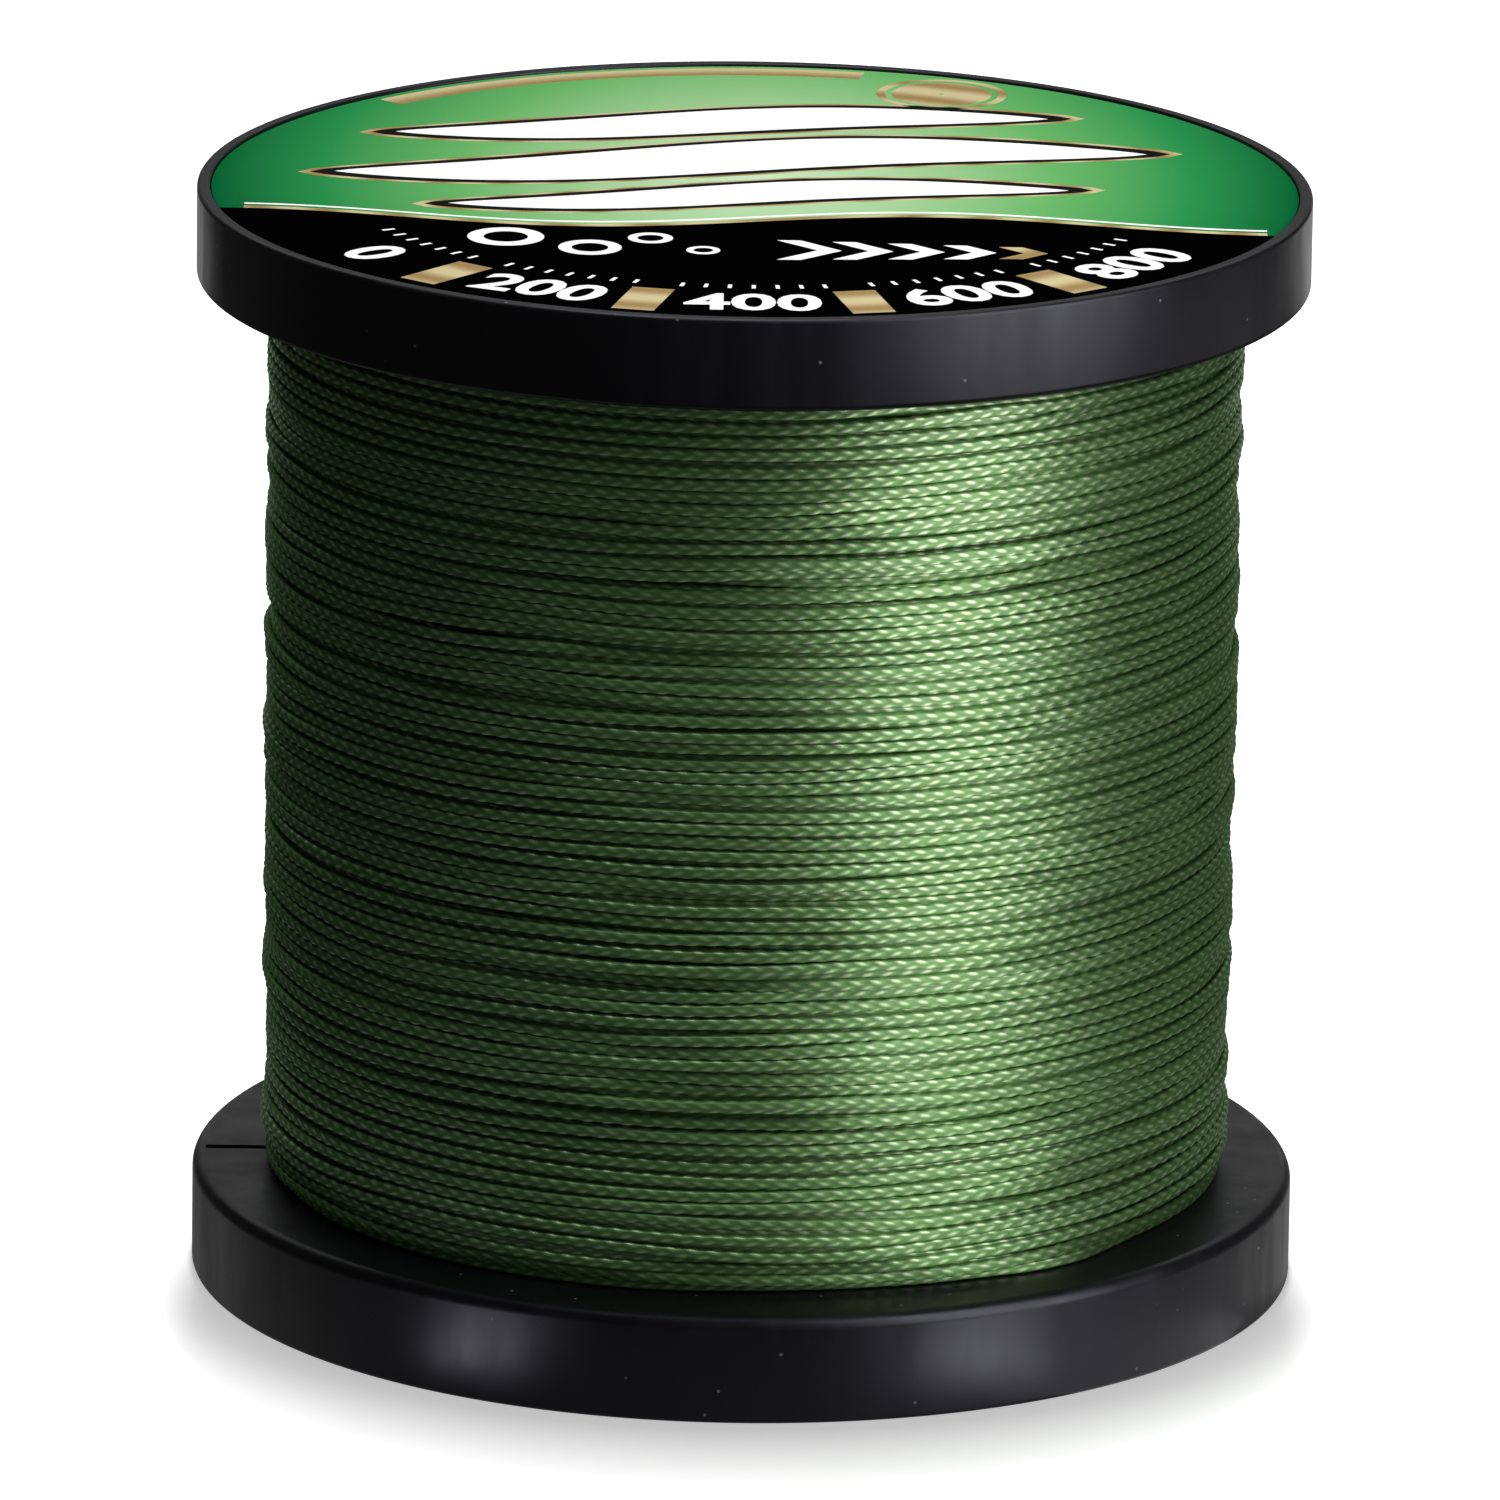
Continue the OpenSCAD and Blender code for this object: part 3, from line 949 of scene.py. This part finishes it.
def smooth_terms(z, angle):
    """The terms of a smooth surface over height and angle, one row for each station."""
    share = 2 * (z - low_z) / (high_z - low_z) - 1
    terms = [share**power for power in range(7)]
    for power in range(3):
        for waves_round in (1, 2):
            terms.append(share**power * np.cos(waves_round * angle))
            terms.append(share**power * np.sin(waves_round * angle))
    return np.stack(terms, -1)


line_angle = start_angle + np.arange(total_turns * places) * step_angle
terms = smooth_terms(line_z, line_angle)
weights = np.linalg.lstsq(terms[outer], line_r[outer], rcond=None)[0]
strays = line_r - terms @ weights
# A turn that stands proud is pressed back, the more so the further out it stands. The order of the
# turns from the inside out stays as it was laid, because a larger value always stays the larger one
pressed = press_reach * np.tanh(np.maximum(strays, 0) / press_reach)
# The even form sits a quarter of a millimetre off centre, towards +X, as a soft pile does
even_r = wound_r - roller_sink + pile_off_centre * np.cos(line_angle)
line_r = even_r + np.minimum(strays, 0) + pressed
print(f"furthest turn out: {1000 * strays.max():.2f} mm as laid, {1000 * pressed.max():.2f} mm pressed")
lowest, highest = 1000 * line_r[outer].min(), 1000 * line_r[outer].max()
print(f"outer layer's middle from {lowest:.2f} to {highest:.2f} mm when levelled")

# %% [markdown]
# The loose end isn't tied. It is pushed down between its neighbours at the back, where the turns
# above it hold it, so the last part of the path sinks by a little more than the line's thickness.

# %% Tucking in the loose end
tuck_stations = int(0.13 * places)
tuck_depth = 1.3 * MM
tuck_shift = 0.3 * MM
tuck = np.linspace(0, 1, tuck_stations)
line_r[-tuck_stations:] -= tuck_depth * tuck**2 * (3 - 2 * tuck)
line_z[-tuck_stations:] -= tuck_shift * tuck
print(f"loose end tucked in over {tuck_stations * 360 / places:.0f} degrees")

# %% [markdown]
# ## Braided line: its surface
# The line is a plait of four flat bundles of polyethylene filament, dyed green and waxed. Two run
# clockwise and two the other way, so from any side the eye sees columns of slanting ovals, each
# where a bundle passes over another, like grains on an ear of wheat. The tube that is swept along
# the path has this relief in its mesh, because it is the relief that breaks the highlight into dashes.

# %% Relief of the braid
plait_lead = 3.7 * MM
oval_half_length = 0.85 * MM
oval_half_width = 0.33 * MM
oval_slant = math.radians(18)
relief_low_r = 0.423 * MM
relief_height = 0.078 * MM
# Under tension the braid lies 0.82 as thick and 1.2 times as broad as a round one, and more like a
# rounded oblong than an ellipse
flatness = 0.82
breadth = 1.2
squareness = 3.4


def pressed_section(around):
    """Out and up, in half sizes, of a point of the braid that its own tension has pressed flat."""
    # A flattened tube shows two columns of ovals side by side, each over half of its breadth
    quarters = np.mod(around + math.pi / 2, 2 * math.pi) / (math.pi / 2)
    up = np.where(quarters < 2, quarters - 1, 3 - quarters)
    out = (1 - np.minimum(np.abs(up), 1) ** squareness) ** (1 / squareness)
    return flatness * np.where(quarters < 2, out, -out), breadth * up


def braid_relief(along, around):
    """Height of the braid's surface, 0 to 1, along the line and around it in radians."""
    height = np.zeros(np.broadcast(along, around).shape)
    for column in range(4):
        side = math.pi / 4 + column * math.pi / 2
        offset = (column % 2) * plait_lead / 4
        y = (np.mod(around - side + math.pi, 2 * math.pi) - math.pi) * line_d / 2
        x = np.mod(along - offset + plait_lead / 4, plait_lead / 2) - plait_lead / 4
        slant = oval_slant if column % 2 else -oval_slant
        xs = x * math.cos(slant) + y * math.sin(slant)
        ys = y * math.cos(slant) - x * math.sin(slant)
        away = np.sqrt((xs / oval_half_length) ** 2 + (ys / oval_half_width) ** 2)
        height = np.maximum(height, np.cos(math.pi / 2 * np.minimum(away, 1)))
    return height


crest_r = 1000 * (relief_low_r + relief_height)
print(f"braid {2 * flatness * crest_r:.2f} mm thick and {2 * breadth * crest_r:.2f} mm broad")


# %% Line material: braided polyethylene filament
def braided_polyethylene(name, crown_colour, gap_shade_colour):
    """Green braided line: lustrous bundles of filament, with duller gaps between them that are painted darker
    as shade.
    """
    # Drawn filaments send coloured light back from inside, a lustre like a metal's
    finish = {"IOR": 1.54, "Metallic": 0.88, "Specular Tint": linear("#a9d795")}
    # They all run along the line, so each highlight is drawn out across it, as on combed hair
    finish.update({"Anisotropic": 0.82, "Anisotropic Rotation": 0.25})
    # The wax over them is rubbed shiny on the crests, and reflects white there in small dashes
    finish.update({"Coat IOR": 2.2, "Coat Roughness": 0.34})
    material, tree, shader = new_material(name, finish)
    run = add_node(tree, "Tangent", {"direction_type": "RADIAL", "axis": "Z"})
    # The strand map holds millimetres along the line and turns around it
    strand = add_node(tree, "UVMap", {"uv_map": "strand"})
    along, around, _ = add_node(tree, "SeparateXYZ", {}, {0: strand}).node.outputs
    # Which of the four columns of ovals this is, and so which way its filaments slant
    columns = add_node(tree, "Math", {"operation": "MULTIPLY", 1: 4.0}, {0: around})
    column = add_node(tree, "Math", {"operation": "FLOOR"}, {0: columns})
    odd = add_node(tree, "Math", {"operation": "FLOORED_MODULO", 1: 2.0}, {0: column})
    # Place within the oval: along it from its middle, and across it in millimetres
    lead = plait_lead / MM
    shifted = add_node(tree, "Math", {"operation": "MULTIPLY_ADD", 1: -lead / 4}, {0: odd, 2: along})
    oval_x = add_node(tree, "Math", {"operation": "WRAP", 1: lead / 4, 2: -lead / 4}, {0: shifted})
    part = add_node(tree, "Math", {"operation": "FRACT"}, {0: columns})
    centred = add_node(tree, "Math", {"operation": "SUBTRACT", 1: 0.5}, {0: part})
    quarter = math.pi * line_d / MM / 4
    way = add_node(tree, "MapRange", {"To Min": -quarter, "To Max": quarter}, {"Value": odd})
    oval_y = add_node(tree, "Math", {"operation": "MULTIPLY"}, {0: centred, 1: way})
    oval_place = add_node(tree, "CombineXYZ", {}, {0: oval_x, 1: oval_y})
    oval_size = (oval_half_length / MM, oval_half_width / MM, 1)
    oval = {"vector_type": "TEXTURE", "Rotation": (0, 0, oval_slant), "Scale": oval_size}
    unit_place = add_node(tree, "Mapping", oval, {"Vector": oval_place})
    away = add_node(tree, "VectorMath", {"operation": "LENGTH"}, {0: unit_place}, "Value")
    crown = add_node(tree, "MapRange", {"From Min": 1.0, "From Max": 0.2}, {"Value": away})
    waxed = {"From Min": 0.8, "From Max": 0.3, "To Min": 0.2, "To Max": 1.0}
    wax = add_node(tree, "MapRange", {"interpolation_type": "SMOOTHSTEP", **waxed}, {"Value": away})
    lean = math.tan(oval_slant)
    side = add_node(tree, "MapRange", {"To Min": -lean, "To Max": lean}, {"Value": odd})
    shear = add_node(tree, "Math", {"operation": "MULTIPLY"}, {0: side, 1: along})
    # One turn around is 3 mm of surface
    across = add_node(tree, "Math", {"operation": "MULTIPLY_ADD", 1: 3.0}, {0: around, 2: shear})
    # Filaments are 0.02 mm thick; strands of them are drawn 0.1 mm wide, the least that shows
    filament_place = add_node(tree, "CombineXYZ", {}, {0: across, 1: along, 2: column})
    per_mm = {"Scale": (1 / 0.1, 1 / 0.9, 1)}
    stretched = add_node(tree, "Mapping", per_mm, {"Vector": filament_place})
    filaments = add_node(tree, "TexNoise", {"Scale": 1.0, "Detail": 2.0}, {"Vector": stretched})
    # The dye is uneven over some centimetres of line
    dye_place = add_node(tree, "CombineXYZ", {}, {0: along})
    dye = add_node(tree, "TexNoise", {"Scale": 1 / 25, "Detail": 3.0}, {"Vector": dye_place})
    strength = {"From Min": 0.3, "From Max": 0.7, "To Min": 0.88, "To Max": 1.12}
    dye_value = add_node(tree, "MapRange", strength, {"Value": dye})
    # Away from each oval's middle the colour turns to the darker one: painted shade where the bundles shade
    # each other
    shades = {"data_type": "RGBA", 6: linear(gap_shade_colour), 7: linear(crown_colour)}
    body = add_node(tree, "Mix", shades, {0: crown}, 2)
    dyed_and_shaded = add_node(tree, "VectorMath", {"operation": "SCALE"}, {0: body, "Scale": dye_value})
    gloss = add_node(tree, "MapRange", {"To Min": 0.59, "To Max": 0.53}, {"Value": crown})
    bump = add_node(tree, "Bump", {"Strength": 0.5, "Distance": 0.02 * MM}, {"Height": filaments})
    set_node(shader, {}, {"Base Color": dyed_and_shaded, "Roughness": gloss, "Normal": bump})
    set_node(shader, {}, {"Tangent": run, "Coat Weight": wax})
    return material


# The second colour is painted shade for the gaps between the bundles
line_finish = braided_polyethylene("braided_green_polyethylene", "#6a9a58", "#4a753e")


# %% [markdown]
# ## Sweeping the line
# Rings of points follow the path, in the outermost layer one every third of a millimetre. The side
# that faces outwards gets more points than the side nobody sees. The layers are cut into lengths of
# some turns, one mesh each, which keeps every mesh small enough to export whole. The tube also gets
# two maps: one says how far along the line and around it each place lies, the other is for baking.

# %% A tube of line
def close_ends(mesh, ring_count, count):
    """Caps both ends of a swept tube."""
    shape = bmesh.new()
    shape.from_mesh(mesh)
    shape.verts.ensure_lookup_table()
    first = [shape.verts[k] for k in range(count)]
    last = [shape.verts[(ring_count - 1) * count + k] for k in range(count)]
    for ring in (first, list(reversed(last))):
        shape.faces.new(ring)
    shape.to_mesh(mesh)
    shape.free()


def add_strand_maps(mesh, along, around):
    """Gives a swept tube its strand map and its map for baking."""
    ring_count, count = around.shape
    i, j = np.meshgrid(np.arange(ring_count - 1), np.arange(count), indexing="ij")
    corner_i = np.stack([i, i + 1, i + 1, i], -1).reshape(-1, 4)
    corner_j = np.stack([j, j, j + 1, j + 1], -1).reshape(-1, 4)
    turns = np.concatenate([around, around[:, :1] + 2 * math.pi], 1) / (2 * math.pi) + 0.5
    whole_leads = plait_lead * math.floor(along[0] / plait_lead)
    # For baking, the tube is cut into short strips that lie side by side in a square
    length = along[-1] - along[0]
    girth = math.pi * line_d
    rows = max(1, round(math.sqrt(length * 1.1 / girth)))
    rings_per_row = math.ceil((ring_count - 1) / rows)
    row = (i // rings_per_row).reshape(-1, 1)
    row_share = 0.01 + 0.98 * (corner_i - row * rings_per_row) / rings_per_row
    maps = {
        "strand": (((along - whole_leads) / MM)[corner_i], turns[corner_i, corner_j]),
        "OFBake": (row_share, (row + 0.05 + 0.9 * corner_j / count) / rows),
    }
    for name, (u, v) in maps.items():
        # The end caps' corners come last and stay at zero
        places_on_map = np.zeros((len(mesh.loops), 2), np.float32)
        places_on_map[: u.size, 0] = u.ravel()
        places_on_map[: u.size, 1] = v.ravel()
        mesh.uv_layers.new(name=name).data.foreach_set("uv", places_on_map.ravel())


def tube_piece(name, points, along, around, turned_out=False):
    """A closed tube of line from its rings of points, its faces turned over if they would face in."""
    ring_count, count = around.shape
    quads = ring_quads(ring_count, count, False)
    if turned_out:
        quads = quads[:, ::-1]
    piece = make_piece(name, points.reshape(-1, 3), quads, line_finish)
    close_ends(piece.data, ring_count, count)
    add_strand_maps(piece.data, along, around)
    return piece


# %% Sweeping the line
outer_sides = np.radians([-90, -70, -50, -30, -10, 10, 30, 50, 70, 90, 135, 225])
deep_sides = np.radians([-90, -30, 30, 90, 150, 210])
twist = np.radians(22) * smooth_noise(total_turns * places + 1, 0.8 * places)


def sweep_line(name, first_turn, last_turn, rings_per_turn, sides):
    """One mesh of the line between two turns of its path."""
    last_station = total_turns * places - 1
    ring_count = int((last_turn - first_turn) * rings_per_turn) + 1
    station = first_turn * places + np.arange(ring_count) * places / rings_per_turn
    station = np.minimum(station, last_station)
    known = np.arange(last_station + 1)
    r, z, turn_about = (np.interp(station, known, values) for values in (line_r, line_z, twist[:-1]))
    angle = start_angle + station * step_angle
    along = angle * wound_r
    around = sides[None, :] - turn_about[:, None]
    surface = relief_low_r + relief_height * braid_relief(along[:, None], around)
    section_out, section_up = pressed_section(sides)
    out = r[:, None] + surface * section_out[None, :]
    high = z[:, None] + surface * section_up[None, :]
    points = np.stack([out * np.cos(angle)[:, None], out * np.sin(angle)[:, None], high], -1)
    return tube_piece(name, points, along, around)


outer_start = total_turns - outer_turns
under_start = outer_start - outer_turns
deep_start = under_start - 2 * outer_turns
# Layer, its first turn and the one after its last, turns in one length, and rings in one turn
lengths = [("outer", outer_start, total_turns, 9, 900), ("under", under_start, outer_start, 16, 480)]
line_pieces = []
for layer, layer_start, layer_end, turns_each, rings_per_turn in lengths:
    for number, first_turn in enumerate(range(layer_start, layer_end, turns_each)):
        last_turn = min(first_turn + turns_each, layer_end)
        name = f"{layer}_turns_{number + 1:02d}"
        line_pieces.append(sweep_line(name, first_turn, last_turn, rings_per_turn, outer_sides))
line_pieces.append(sweep_line("deep_turns", deep_start, under_start, 120, deep_sides))
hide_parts("line_outer_turns")
aim_light(key, "EXCLUDE", *line_pieces)
aim_light(line_key, "INCLUDE", *line_pieces)
aim_light(mirrored_key, "INCLUDE", *line_pieces)
print(len(line_pieces), "lengths of line,", sum(len(p.data.polygons) for p in line_pieces), "faces")

# %% [markdown]
# ## The line's inner end
# The line starts inside the lower flange. Its end goes down through the slit, is wound three times
# round itself as a stopper that cannot slip back through, and leaves a short tail. It can be seen
# only with the cover off, so one sweep along a path of points is enough for it.

# %% Stopper knot
def sweep_path(name, path, radius, sides):
    """A closed tube of line along any path of points."""
    run = np.gradient(path, axis=0)
    run /= np.linalg.norm(run, axis=1)[:, None]
    across = np.zeros_like(path)
    across[0] = np.cross(run[0], (0.3, 1.0, 0.2))
    for k in range(1, len(path)):
        across[k] = across[k - 1] - run[k] * np.dot(across[k - 1], run[k])
    across /= np.linalg.norm(across, axis=1)[:, None]
    other = np.cross(run, across)
    steps = np.linalg.norm(np.diff(path, axis=0), axis=1)
    along = np.concatenate([[0], np.cumsum(steps)])
    around = np.tile(sides, (len(path), 1))
    surface = radius + relief_height * (braid_relief(along[:, None], around) - 0.5)
    offset = across[:, None] * np.cos(sides)[None, :, None] + other[:, None] * np.sin(sides)[None, :, None]
    return tube_piece(name, path[:, None] + surface[:, :, None] * offset, along, around, True)


stem_x = -20.675 * MM
stem_points = 40
coil_top_z = 7.25 * MM
coil_turns = 3
tail_points = 30
coil_angle = np.linspace(0, (coil_turns + 0.25) * 2 * math.pi, 36 * coil_turns)
coil_x = stem_x + line_d * np.cos(coil_angle)
coil_y = line_d * np.sin(coil_angle)
coil_z = coil_top_z - line_d * (coil_angle[-1] - coil_angle) / (2 * math.pi)
stem_z = np.linspace(line_low_z + 0.4 * MM, coil_z[0], stem_points)
stem = np.stack([np.full(stem_points, stem_x), np.zeros(stem_points), stem_z], -1)
turn_back = stem[-1] + line_d * np.array([[0.15, 0, -0.35], [0.5, 0, -0.5], [0.85, 0, -0.35]])
coil = np.stack([coil_x, coil_y, coil_z], -1)
tail = np.tile(coil[-1], (tail_points, 1))
tail[:, 0] -= np.linspace(0.2, 6.3, tail_points) * MM
knot_path = np.concatenate([stem, turn_back, coil, tail])
knot_sides = np.radians(np.arange(0, 360, 36))
inner_end = sweep_path("inner_end", knot_path, 0.45 * MM, knot_sides)
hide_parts("line_start")
print("inner end:", len(inner_end.data.polygons), "faces")

# %% [markdown]
# ## Inner layers
# Under the layers that can be seen between the turns lies the rest of the line. Nothing of it shows,
# so one ribbed drum of the same line stands for it, as thick as the space down to the core tube.

# %% Ribbed drum of inner layers
drum_r = np.percentile(line_r[deep_start * places : under_start * places], 8) - line_d / 2
rib_count = int(round((line_high_z - line_low_z) / guide_pitch))
rib_steps = 6
rib_h = 0.25 * MM
drum_steps = 180
drum_z = np.linspace(line_low_z, line_high_z, rib_count * rib_steps + 1)
drum_share = (drum_z - line_low_z) / (line_high_z - line_low_z)
rib = rib_h * np.abs(np.sin(np.pi * rib_count * drum_share))
inner_r = core_r + 0.05 * MM
ribbed_side = list(zip(drum_r - rib_h + rib, drum_z))
drum_section = [(inner_r, line_low_z)] + ribbed_side + [(inner_r, line_high_z)]
points, quads = turned_mesh(drum_section, drum_steps)
inner_layers = make_piece("inner_layers", points, quads[:, ::-1], line_finish, 60)
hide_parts("line_bulk")
print(f"inner layers out to {1000 * drum_r:.2f} mm")
